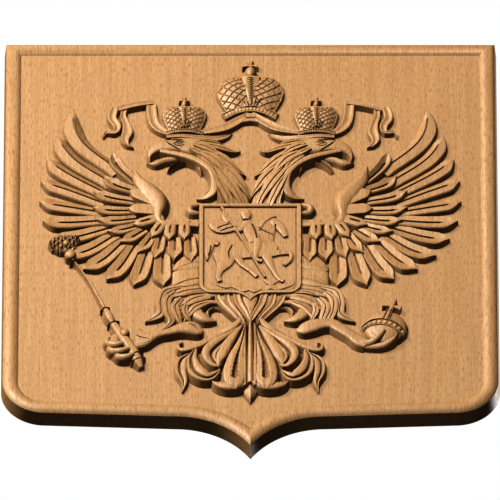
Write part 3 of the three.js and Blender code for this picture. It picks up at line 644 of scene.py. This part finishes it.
hind = {
    "thigh": [[-44, -16, 8, 4.4], [-50, -30, 13, 4.8], [-50, -46, 14, 5], [-50, -60, 14, 5.6],
              [-52, -74, 11, 5.6], [-55, -86, 5, 4.6]],
    "layers": [
        [[-40, -24, 6, 5], [-51, -27, 6.6, 5.4], [-63, -34, 0.8, 5]],
        [[-40, -42, 7, 5.6], [-52, -46, 7.4, 6.4], [-65, -52.6, 0.8, 5.4]],
        [[-35, -54, 5, 6], [-53, -58, 6, 7.2], [-70, -66, 0.8, 6]],
        [[-33, -62, 5, 6.4], [-47, -67.5, 6, 7.6], [-63.5, -82.5, 0.8, 6]],
        [[-36, -59, 2.4, 7.4], [-46, -60, 3, 8.2], [-58, -66, 0.5, 7.2]],
        [[-34, -70, 3, 6.8], [-45, -77, 5, 7.8], [-55.2, -94.8, 0.6, 6]],
    ],
    "locks": [
        [[-57, -53, 2, 6.2], [-68.6, -57.5, 4, 6.4], [-72.4, -69, 4.4, 6.2], [-72.4, -82, 4.6, 5.8],
         [-84.6, -89.8, 0.5, 3.4]],
        [[-60, -59, 3, 6.6], [-66.4, -67, 4.4, 7], [-66.4, -80, 4.4, 7], [-63.6, -91, 3.6, 6.2],
         [-71, -99, 0.5, 3.6]],
        [[-55, -66, 3, 7], [-60.4, -75, 4.6, 7.4], [-58.4, -86, 4, 7], [-54.4, -96.6, 0.5, 5]],
        [[-51, -72, 2.4, 7.2], [-52.6, -80, 3.6, 7.6], [-50, -88, 2.6, 7], [-46.4, -93, 0.5, 5.4]],
    ],
    "scroll": [[-18, -72, 2.4, 5], [-30, -68.5, 3.4, 5.6], [-41, -72, 5.6, 6.4], [-43, -81, 6.8, 7],
               [-36, -88, 5.8, 7], [-27, -89.5, 1.6, 4.6]],
    "innerScroll": [[-20, -76, 1.6, 4], [-29, -73.5, 2.4, 4.4], [-34, -78.5, 2.6, 4.8], [-33, -86, 2, 4.8]],
    "stems": [
        [[-27, -60, 2.4, 6], [-24, -70, 3, 6.4], [-14, -84, 2.4, 6.8], [-5, -96, 1.2, 6.6]],
        [[-19, -60, 2.4, 6.4], [-17, -72, 3, 7], [-9, -85, 2.4, 7.4], [-4, -96, 1.2, 7]],
        [[-11.4, -60, 3.4, 6.8], [-9, -72, 3.6, 7.8], [-4, -84, 3.2, 8.6], [0.6, -95, 1.4, 8.2]],
    ],
    "bed": [
        [[-20, -54, 13, 4.8], [-18, -66, 10, 5], [-12, -78, 7, 5.4], [-5, -90, 3, 5.6]],
        [[-22, -58.6, 4, 5.6], [-36, -60.6, 5.6, 6.4], [-50, -63, 4, 6.4]],
        [[-6.6, -84, 2.4, 6.8], [-10.4, -92.6, 4.2, 7], [-17.6, -99.4, 4.9, 6.6], [-28.4, -104, 0.6, 4.2]],
        [[-7, -98, 2.4, 8], [-12.6, -107, 5, 8.8], [-18.4, -118, 6.6, 9.2], [-22.8, -129, 7, 9.2],
         [-25.4, -137, 4.6, 8.6], [-26, -143, 1.5, 7.4]],
        [[-30.5, -157.5, 1.6, 6.4], [-26, -161.6, 4.6, 8], [-18, -163.6, 6.2, 8.8], [-9, -162.6, 6, 8.8],
         [-1.5, -159.5, 3, 8.4]],
    ],
    "tail": [
        [[-7, -97, 2, 7.4], [-16, -107, 5, 8.4], [-26, -117, 8, 9.2], [-32.5, -126, 8.4, 9.4],
         [-32, -134.5, 7, 9], [-27, -140.5, 4.4, 8], [-22.5, -136.5, 1, 6.6]],
        [[-9, -95, 1.6, 6], [-26, -107, 3.6, 6.8], [-40, -116.5, 4.4, 7], [-50, -121.5, 4.2, 7],
         [-56.5, -122, 3.4, 6.6], [-57.5, -116, 2.2, 6], [-54, -114, 1.4, 5.6]],
        [[-44, -122, 2.4, 6.6], [-46.5, -134, 6, 8], [-43, -147, 8.6, 8.6], [-34, -153, 7, 8],
         [-26, -147, 3, 6.8], [-25, -142, 0.6, 5]],
        [[-48, -126, 2.4, 5.4], [-54.5, -134, 5.4, 6.2], [-55.5, -146, 5.8, 6.4], [-53, -157, 3.6, 5.6],
         [-54.6, -166.5, 0.4, 3.4]],
    ],
    "heart": [[0, -56, 8, 6], [0, -66, 8, 6.8], [0, -78, 5.4, 7.6], [0, -90, 1.2, 7.8]],
    "heartCut": [[-7.4, -61, 0.9, 3.6], [-5.4, -72, 1.1, 4], [0, -84.6, 1, 4.6], [5.4, -72, 1.1, 4],
                 [7.4, -61, 0.9, 3.6]],
    "fan": [[-3.5, -95, 2.2, 8.4], [-6.5, -114, 5.2, 9.6], [-10.6, -132, 8.8, 10.2], [-12.6, -147, 11, 10.4],
            [-12.8, -157, 10.8, 10.2], [-12.6, -163.6, 8.4, 9.6], [-12.6, -167.6, 3.6, 8]],
    "fanEdge": [[-4, -98, 1.2, 9.6], [-4.2, -120, 2, 10.6], [-4.2, -145, 2.6, 10.6], [-4, -164, 2, 9.4]],
    "shaft": [[0, -90, 1.6, 8.4], [0, -104, 2.2, 9.8], [0, -130, 3, 10], [0, -150, 3.4, 9.8],
              [0, -160, 3, 8.8]],
    "pendant": [[0, -153, 0.4, 3], [0, -165.5, 6.4, 6.4], [0, -178, 0.4, 3]],
}


def makeHind():
    pieces = strokes([hind["thigh"]], fullTop)
    pieces += strokes(hind["layers"], lockTop, steep=0.5)
    pieces += strokes(hind["locks"], lockTop, steep=0.5, lean=-0.7)
    pieces += strokes(hind["bed"], fullTop)
    pieces += strokes(hind["stems"], ribbonTop, steep=0.5)
    pieces += strokes([hind["scroll"]], fullTop, edge=0.45)
    pieces += strokes([hind["innerScroll"]])
    for rows, rim in zip(hind["tail"], (-1, 0, 1, 1)):
        pieces.append(stroke(rows, spoonTop, rim=rim) if rim else stroke(rows, fullTop))
    return pieces + [stroke(hind["fan"], fanTop), stroke(hind["fanEdge"], steep=0.4, edge=0.86)]


# Sceptre on the left, orb on the right

sceptre = {
    "leg": [[-37.5, -101, 3, 5.6], [-41, -100.8, 7, 7], [-48.7, -98, 8.9, 8], [-57, -99.4, 7.2, 8],
            [-65, -102.8, 5.6, 7.8], [-73, -105, 5.5, 7.6], [-79.5, -108.1, 6.8, 7.6], [-85, -110, 10.3, 7.4],
            [-92, -109.2, 14, 7]],
    "staff": [                 # the knee over the leg, the rod, its neck, the grip and the cap
        [[-54, -93.5, 1.4, 6.4], [-47, -96, 2, 9], [-42, -101, 1.2, 7.6]],
        [[-143, -23, 3, 7.6], [-139, -28.4, 1.8, 5.6], [-129, -46, 2.1, 4.8], [-117.4, -74.6, 2.6, 5.4]],
        [[-116.8, -77, 3.2, 6.8], [-115, -82, 4.9, 8], [-112.6, -88, 4.9, 8], [-110.8, -92.4, 3.4, 7.2]],
        [[-110.2, -93.6, 4.6, 7.6], [-108.4, -97, 5.2, 8], [-101.6, -110, 6.2, 8.4], [-94, -124.6, 6.4, 8.4],
         [-92.4, -128, 6.2, 8.2]],
        [[-93, -127, 5.6, 8.2], [-91, -132, 6, 8.2], [-89.4, -136, 5.2, 7.4], [-87.4, -141, 3, 5.6]],
    ],
    "collars": [(-142.4, -25, 3.4, 9), (-117, -77.4, 3.9, 8), (-110.2, -93.6, 4.9, 8.8),
                (-92.6, -128, 6.6, 9.4), (-90.2, -134, 6, 8.8)],
    "lean": 0.44,
    "toes": [
        [[-113.4, -109, 3, 7.2], [-114.8, -115, 3.8, 8.6], [-109, -118.4, 4.2, 10],
         [-102.4, -117.4, 3.6, 10.5]],
        [[-113.4, -119.4, 3, 7.2], [-111.4, -124.2, 4, 9], [-104.6, -125.6, 4.2, 10.2],
         [-97, -123.2, 3.6, 10.5]],
        [[-108, -126.4, 3, 7], [-104.8, -131, 4, 9], [-99, -131.6, 4, 10], [-93.4, -129.4, 3.2, 10.2]],
    ],
    "palm": [[-107, -105, 4, 6.4], [-109.6, -114, 7.4, 7], [-106, -124, 8, 7], [-99, -132, 5, 6.4]],
    "bosses": [(-100.8, -106, 4.2, 10.6), (-145, -18.4, 4.9, 10.2), (-148.6, -6.6, 3.4, 10.6)],
    "cuff": [[-94.6, -102.6, 0.5, 7.2], [-89.4, -108.8, 1, 5.4], [-81, -111.6, 0.6, 6.6]],
    "finial": [[-161.6, -8, 3, 8.4], [-158.4, -6.4, 6.8, 9], [-152, -5, 9.4, 9.4], [-145.4, -3, 8.4, 9.4],
               [-140.6, -0.6, 5, 9], [-138.4, 1, 2, 8]],
}
orb = {
    "leg": [[37.5, -101, 3, 5.6], [42, -99.6, 7, 7], [50, -96, 8.4, 8], [57, -94.1, 7.2, 8],
            [65, -93.7, 6.8, 8], [72.5, -99.1, 6.8, 7.8], [80.6, -105.9, 6.4, 7.6], [87.4, -112, 7.4, 7.4],
            [93.6, -116, 6, 7]],
    "globe": (108.3, -96.8, 18.8, 9.4),
    "bands": [
        [[90, -98.6, 2.4, 6.4], [97, -95.2, 3.8, 9.2], [105, -94.6, 4.1, 10.3], [112.8, -96.6, 4.1, 10.3],
         [119.2, -101, 3.8, 9.2], [124.4, -105.6, 2.6, 6.6]],
        [[108.6, -92.5, 3.6, 10.5], [110.8, -85, 3.4, 9.6], [112.6, -77, 2.8, 7]],
    ],
    "cross": [
        [[112.4, -79, 1.8, 6.4], [115.4, -66.5, 3, 6]],
        [[106.6, -71.4, 3, 6], [113.8, -73.6, 1.5, 6], [121, -75.8, 3, 6]],
    ],
    "toes": [
        [[86, -113, 4.4, 7.2], [95, -114.6, 4.2, 8.2], [102, -111, 3.9, 10.2], [107.4, -103.6, 3.6, 10.6]],
        [[92, -117, 3, 5.4], [105, -117, 3.8, 7], [114, -112.6, 3.4, 8.8], [119, -106, 1, 9.6]],
    ],
}


def makeSceptre():
    pieces = [stroke(sceptre["leg"], fullTop, edge=0.5), stroke(sceptre["palm"], fullTop, edge=0.4)]
    pieces += strokes(sceptre["staff"], fullTop, edge=0.5)
    for x, z, half, crest in sceptre["collars"]:
        across = [[x + way * half, z + way * half * sceptre["lean"], 0.9, crest - 2 * abs(way)]
                  for way in (-1, 0, 1)]
        pieces.append(stroke(across, ovalTop, cell=1.2, steep=0.2))
    pieces += strokes(sceptre["toes"], ovalTop, cell=1.2, steep=0.4, edge=0.6)
    pieces += [ball(*boss, edge=0.72, steep=0.15) for boss in sceptre["bosses"]]
    pieces.append(stroke(sceptre["finial"], raggedTop, cell=0.9, steep=0.1))
    return pieces


def makeOrb():
    pieces = [stroke(orb["leg"], fullTop, edge=0.68), ball(*orb["globe"])]
    pieces += strokes(orb["bands"], beadedTop, cell=0.6, steep=0.3, pitch=4.3, lip=0.2, beads=1.6, sunk=1.5)
    pieces += strokes(orb["cross"], flatTop, steep=0.5)
    return pieces + strokes(orb["toes"], ovalTop, cell=1.2, steep=0.35, edge=0.6)


# Shield with the rider

shield = {
    "half": 41.5, "top": 39, "height": 109, "point": 8.5, "corner": 11,
    "frameWidth": 4.4, "frameHeight": 8.2, "panelHeight": 6.6, "figureHeight": 2.6, "figureDrop": 8,
    "points": 10, "ogeeBend": 0.6, "ogeeFoot": 1.7, "cutFloor": 0.3,
    "edge": ((-1.4, 0), (-0.7, -0.5)),                # from the frame's inner edge and its top
    "moat": ((-0.2, -0.4), (0.3, -0.4), (0.8, 0)),    # from the frame's inner edge and the panel
}


def shieldRing(inset, above):
    point, steps = shield["point"], shield["points"]
    side = shield["half"] - inset
    level = shield["top"] - shield["height"] + point + inset
    corner = max(1.5, shield["corner"] - inset)
    half = []
    for i in range(steps + 1):                 # the ogee from the point to the foot
        t = i / steps
        x = 2 * (1 - t) * t * point * shield["ogeeBend"] + t * t * point * shield["ogeeFoot"]
        z = (1 - t) ** 2 * (level - point) + 2 * (1 - t) * t * level + t * t * level
        half.append((x, z))
    half += quarterCircle(side - corner, level + corner, corner, steps)
    half.append((side, shield["top"] - inset))
    return [onField(x, z, above) for x, z in bothHalves(half)]


rider = {
    "horse": [
        [[-27.4, -7, 5], [-22.9, -8.3, 10.4], [-8.3, -6, 9.8], [3.8, -5, 9.2], [15, -4.6, 9.2],
         [21.6, -5.6, 4]],
        [[9, 3, 9], [12, 15, 7.8], [16.4, 23.6, 5.8], [21.6, 26.6, 3.6]],
        [[18, 26.4, 3.4, 1.3], [23.6, 20, 4.2, 1.3], [27, 13, 2.9, 1.2], [28.6, 8.6, 1.9, 1.1]],
        [[16, -10, 4], [25.6, -9, 2.5], [32.6, -9.8, 2], [32, -17.4, 1.6], [27, -22.8, 1.8]],
        [[12.7, -11, 4.6], [17, -25, 2.4], [22.4, -37.4, 1.7], [27, -40.6, 1.9]],
        [[-21, -10, 9.4], [-21, -19, 7.4], [-24.4, -29, 3], [-25.8, -36, 2], [-24.4, -41, 2.2]],
        [[-10, -15, 3.4], [-6.4, -22, 2.6], [0, -29, 1.9], [5.4, -35.6, 1.9]],
        [[-25.6, 1, 2.4], [-30.6, 2.6, 3], [-33.6, -5, 3.2], [-35, -17.6, 0.7]],
        [[7, 15, 1.4, 1.3], [10.6, 24.6, 2, 1.3], [17, 30, 1.6, 1.3], [21, 30.6, 0.6, 1.2]],
    ],
    "figure": [
        [[-3, 26, 3.4, 1.2], [-0.4, 15, 5.4, 1.3], [3.4, 2.6, 5, 1.2]],
        [[-3.6, 27.6, 2.4, 1.3], [-3.4, 31.6, 4, 1.5], [-3.4, 36, 4, 1.5], [-3.6, 38.6, 2.4, 1.3]],
        [[3, 12, 3.4, 1.25], [6, 2, 3.6, 1.3], [4.6, -10, 2.4, 1.25], [4.4, -16, 2, 1.2],
         [9.6, -19, 1.5, 1.2]],
        [[-4, 22, 3, 1.3], [-9, 15.6, 2.4, 1.35], [-13, 18, 2.2, 1.35]],
        [[-7, 23.6, 2.6], [-16, 21.6, 7], [-25, 19.6, 6.8], [-30, 20.6, 3.4], [-33.4, 25, 0.8]],
        [[-17, 24.6, 2.8, 1.3], [-20.6, 30, 2.8, 1.3], [-21.4, 37.6, 1, 1.2]],
        [[-23.6, 42, 1, 1.5], [-6, 3.4, 1, 1.55], [12, -36.6, 1, 1.2]],
    ],
    "dragon": [
        [[11, -38, 1, 0.5], [16, -42, 2.2, 0.5], [22, -39, 1.4, 0.5]],
        [[12, -50, 1, 0.4], [16, -46, 2.6, 0.5], [21, -47.4, 2.2, 0.4], [28, -45, 2.4, 0.5],
         [34, -42, 1.6, 0.4], [33, -36, 0.8, 0.4]],
        [[-27, -43, 1, 0.4], [-20, -46, 1.6, 0.5], [-14, -45, 2, 0.4], [-6, -49.6, 2, 0.5],
         [-1, -48, 2.2, 0.5], [3, -50.4, 2, 0.5], [8, -48, 1.4, 0.4]],
    ],
    "cuts": [
        [[6.2, 18], [14.4, 12.6], [23.2, 7.2], [25.6, -1]], [[20, 21.4], [20.6, 13], [21.4, 6.4]],
        [[-27, 17.4], [-22, 20.6], [-16.4, 22.6]], [[-24, 14.6], [-17.6, 18], [-11, 19.4]],
        [[-14.6, -1], [-17.4, -8.6], [-17, -16]], [[-31.6, -2], [-32.4, -8], [-34, -13]],
        [[1.4, 22], [4, 14], [5.4, 6]],
    ],
}


def lowTop(half, crest, ahead, fall=0.16):
    floor = shield["panelHeight"]
    rise = crest - floor
    shares = (-1, -0.85, -0.45, 0, 0.45, 0.85, 1)
    return [(a * half, floor + rise * (1 - fall * abs(a) ** 3)) for a in shares]


def makeShield():
    width, high, panel = shield["frameWidth"], shield["frameHeight"], shield["panelHeight"]
    lean, rounding = 0.7, 1.2
    profile = [(-0.5, -wall["key"])]
    for degrees in (0, 30, 60, 90):            # the frame's outer edge is rounded over
        angle = radians(degrees)
        profile.append((0.3 + lean * (1 - cos(angle)), high - rounding + rounding * sin(angle)))
    profile += [(width + inset, high + rise) for inset, rise in shield["edge"]]
    profile += [(width + inset, panel + rise) for inset, rise in shield["moat"]]
    pieces = [rolledShell("shield", [shieldRing(inset, above) for inset, above in profile])]
    for rows in rider["horse"] + rider["figure"] + rider["dragon"]:
        path = []
        for x, z, half, *rise in rows:         # a row without a rise of its own has the whole height
            above = shield["figureHeight"] * (rise[0] if rise else 1)
            path.append([x, z - shield["figureDrop"], half, panel + above])
        pieces.append(stroke(path, lowTop, cell=1.3, steep=0.1))
    return pieces


def riderCuts():
    floor = shield["panelHeight"] + shield["figureHeight"] * shield["cutFloor"]
    return [groove([[x, z - shield["figureDrop"], 1, floor] for x, z in rows]) for rows in rider["cuts"]]


# Joining

def joinAll(base, pieces, operation="UNION"):
    group = bpy.data.collections.new("strokes")
    for piece in pieces:
        group.objects.link(piece)
    selectOnly(base)
    join = base.modifiers.new("join", "BOOLEAN")
    join.operation = operation
    join.operand_type = "COLLECTION"
    join.collection = group
    join.solver = "MANIFOLD"
    bpy.ops.object.modifier_apply(modifier="join")
    for piece in pieces:
        bpy.data.meshes.remove(piece.data)
    bpy.data.collections.remove(group)
    return base


def mirroredCopy(piece):
    selectOnly(piece)
    bpy.ops.object.duplicate()
    copy = bpy.context.object
    copy.scale = (-1, 1, 1)
    bpy.ops.object.transform_apply(location=False, rotation=False, scale=True)
    bpy.ops.object.mode_set(mode="EDIT")
    faceOutwards()
    return copy


leftHalf = makeWing() + makeHead() + strokes(ribbon["sides"], ribbonTop) + makeHind()
leftHalf += makeCrown(smallCrown)
print("left half:", len(leftHalf), "strokes")
left = joinAll(leftHalf[0], leftHalf[1:])
left = joinAll(left, [groove(rows) for rows in head["cuts"]] + crownCuts(smallCrown), "DIFFERENCE")
right = mirroredCopy(left)
middle = makeSceptre() + makeOrb() + makeShield() + makeCrown(largeCrown)
middle += [stroke(hind["heart"], fullTop), stroke(hind["shaft"], steep=0.4, edge=0.86),
           stroke(hind["pendant"])] + strokes(ribbon["middle"], flatTop)
plaque = joinAll(makeBoard(), [left, right] + middle)
cuts = crownCuts(largeCrown) + riderCuts() + [groove(hind["heartCut"]), groove(sceptre["cuff"])]
plaque = joinAll(plaque, cuts, "DIFFERENCE")
plaque.name = "carved_relief"
plaque.data.name = "carved_relief"
print("plaque:", sum(len(face.vertices) - 2 for face in plaque.data.polygons), "triangles")

selectOnly(plaque)
bpy.ops.object.shade_smooth_by_angle(angle=radians(32))
for face in plaque.data.polygons:                # the flats stay flat right up to the carving
    face.select = abs(face.normal.y) > board["flatFrom"]
bpy.ops.object.mode_set(mode="EDIT")
bpy.ops.mesh.faces_shade_flat()
bpy.ops.object.mode_set(mode="OBJECT")


# Wood

wood = {
    "light": (0.788, 0.472, 0.213, 1), "dark": (0.655, 0.373, 0.151, 1), "fleck": (0.5, 0.238, 0.07, 1),
    # the crease colour is painted shade, a dark colour laid where the carving is hollow
    "creaseShade": (0.2, 0.075, 0.018, 1), "creaseShadeReach": 0.0022, "creaseShadeFrom": 0.25, "creaseShadeTo": 0.85,
    "grainAcross": 620, "grainAlong": 14, "grainDetail": 3, "grainFrom": 0.3, "grainTo": 0.7,
    "fleckAcross": 1500, "fleckAlong": 170, "fleckDetail": 1, "fleckFrom": 0.5, "fleckTo": 0.74,
    "deepShare": 0.4, "fleckDepth": 0.00006, "smooth": 0.56, "rough": 0.68,
}


# Joins each named input to another node's output, or gives it a plain value
def fill(tree, node, inputs):
    for label, value in inputs.items():
        if isinstance(value, bpy.types.NodeSocket):
            tree.links.new(value, node.inputs[label])
        else:
            node.inputs[label].default_value = value


def addNode(tree, kind, inputs):
    node = tree.nodes.new("ShaderNode" + kind)
    fill(tree, node, inputs)
    return node


# The level of a value between two ends, as 0 to 1 or as low to high
def spread(tree, value, start, end, low=0, high=1):
    inputs = {"Value": value, "From Min": start, "From Max": end, "To Min": low, "To Max": high}
    return addNode(tree, "MapRange", inputs).outputs["Result"]


def newMaterial(name):
    material = bpy.data.materials.new(name)
    material.use_nodes = True
    return material, material.node_tree, material.node_tree.nodes["Principled BSDF"]


# Long streaks and short flecks that run up the board
def grainGroup():
    group = bpy.data.node_groups.new("vertical_grain", "ShaderNodeTree")
    for name, kind, way in (("Place", "Vector", "INPUT"), ("Flecks From", "Float", "INPUT"),
                            ("Streaks", "Float", "OUTPUT"), ("Flecks", "Float", "OUTPUT")):
        group.interface.new_socket(name=name, in_out=way, socket_type="NodeSocket" + kind)
    given = group.nodes.new("NodeGroupInput").outputs
    result = group.nodes.new("NodeGroupOutput")
    for name, out in (("grain", "Streaks"), ("fleck", "Flecks")):
        across = wood[name + "Across"]
        start = given["Flecks From"] if name == "fleck" else wood["grainFrom"]
        scale = (across, across * wood["deepShare"], wood[name + "Along"])
        stretch = addNode(group, "Mapping", {"Vector": given["Place"], "Scale": scale})
        noise = addNode(group, "TexNoise", {"Vector": stretch.outputs["Vector"], "Scale": 1,
                                            "Detail": wood[name + "Detail"]})
        fill(group, result, {out: spread(group, noise.outputs["Fac"], start, wood[name + "To"])})
    return group


def makeBeech():
    beech, tree, shader = newMaterial("beech")
    grain = tree.nodes.new("ShaderNodeGroup")
    grain.node_tree = grainGroup()
    place = addNode(tree, "TexCoord", {}).outputs["Object"]
    fill(tree, grain, {"Place": place, "Flecks From": wood["fleckFrom"]})
    flecks = grain.outputs["Flecks"]
    hollow = addNode(tree, "AmbientOcclusion", {"Distance": wood["creaseShadeReach"]})
    hollow.samples = 8
    hollow.only_local = True
    # painted shade: an ambient occlusion mask colours the slots, and the feet of the walls where they meet
    # the field, dark
    creaseShade = spread(tree, hollow.outputs["AO"], wood["creaseShadeFrom"], wood["creaseShadeTo"], 1, 0)
    colour = wood["dark"]
    # the last layer paints shade into the hollows
    for name, factor in (("light", grain.outputs["Streaks"]), ("fleck", flecks), ("creaseShade", creaseShade)):
        layer = tree.nodes.new("ShaderNodeMix")
        layer.data_type = "RGBA"
        fill(tree, layer, {"Factor": factor, "A": colour, "B": wood[name]})
        colour = layer.outputs["Result"]
    # the pores are duller than the wood between them
    sheen = spread(tree, flecks, 0, 1, wood["smooth"], wood["rough"])
    pores = addNode(tree, "Bump", {"Height": flecks, "Distance": wood["fleckDepth"]})
    pores.invert = True
    fill(tree, shader, {"Base Color": colour, "Roughness": sheen, "Normal": pores.outputs["Normal"]})
    return beech


plaque.data.materials.clear()
plaque.data.materials.append(makeBeech())
plaque.visible_diffuse = False                        # no glow from one wall to the next

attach(plaque, "root")
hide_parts("carved_plaque")


# Studio

studio = {
    "lens": 1500, "elevation": -43.8, "distance": 16.81, "aimUp": 4.93, "aimAside": -0.36,
    "floorLevel": -1.5, "floorRadius": 1.2,
    "keyDirection": (-0.52, -0.82, 0.27), "keyDistance": 3.9, "keySize": 0.6,
    "keyPower": 130, "shadowPower": 48, "glossPower": 420, "glossColour": (1, 0.94, 0.82),
    "backDirection": (0.5, 0.76, 0.42), "backPower": 140,
    "floorColour": (0.82, 0.81, 0.79, 1), "dimColour": (1, 0.97, 0.93, 1), "dimStrength": 0.03, "gamma": 0.7,
}

bpy.ops.mesh.primitive_circle_add(vertices=96, radius=studio["floorRadius"], fill_type="NGON",
                                  location=(0, 0, studio["floorLevel"]))
floor = bpy.context.object
floor.name = "floor"
bpy.ops.object.transform_apply(location=True)
pale, paleTree, paleShader = newMaterial("pale_floor")
fill(paleTree, paleShader, {"Base Color": studio["floorColour"], "Roughness": 0.85})
floor.data.materials.append(pale)
floor.visible_diffuse = False


def softLight(name, power, shadow, side="keyDirection"):
    direction = Vector(studio[side]).normalized()
    bpy.ops.object.light_add(type="AREA")
    light = bpy.context.object
    light.name = name
    light.data.shape = "DISK"
    light.data.size = studio["keySize"]
    light.data.energy = power
    light.data.use_shadow = shadow
    light.location = direction * studio["keyDistance"]
    light.rotation_mode = "QUATERNION"
    light.rotation_quaternion = direction.to_track_quat("Z", "Y")
    light.visible_camera = False
    return light


softLight("key_light", studio["keyPower"], False)
softLight("shadow_light", studio["shadowPower"], True)
gloss = softLight("gloss_light", studio["glossPower"], False)
gloss.visible_diffuse = False
gloss.data.color = studio["glossColour"]
softLight("back_light", studio["backPower"], True, "backDirection")

# The camera sees white behind the plaque, and what lights the plaque is dim
world = bpy.data.worlds.new("studio")
bpy.context.scene.world = world
world.use_nodes = True
sky = world.node_tree
fill(sky, sky.nodes["Background"], {"Color": (1, 1, 1, 1)})
dim = addNode(sky, "Background", {"Color": studio["dimColour"], "Strength": studio["dimStrength"]})
seen = addNode(sky, "LightPath", {}).outputs["Is Camera Ray"]
choose = addNode(sky, "MixShader", {"Fac": seen, 1: dim.outputs["Background"],
                                    2: sky.nodes["Background"].outputs["Background"]})
fill(sky, sky.nodes["World Output"], {"Surface": choose.outputs["Shader"]})

elevation = radians(studio["elevation"])
back = Vector((0, -cos(elevation), sin(elevation)))
up = Vector((0, sin(elevation), cos(elevation)))
target = (up * studio["aimUp"] + Vector((studio["aimAside"], 0, 0))) * part
bpy.ops.object.camera_add()
camera = bpy.context.object
camera.data.lens = studio["lens"]
camera.data.clip_end = 200
camera.location = target + back * studio["distance"]
camera.rotation_mode = "QUATERNION"
camera.rotation_quaternion = (-back).to_track_quat("-Z", "Y")
bpy.context.scene.camera = camera
bpy.context.scene.view_settings.view_transform = "Standard"
bpy.context.scene.view_settings.gamma = studio["gamma"]
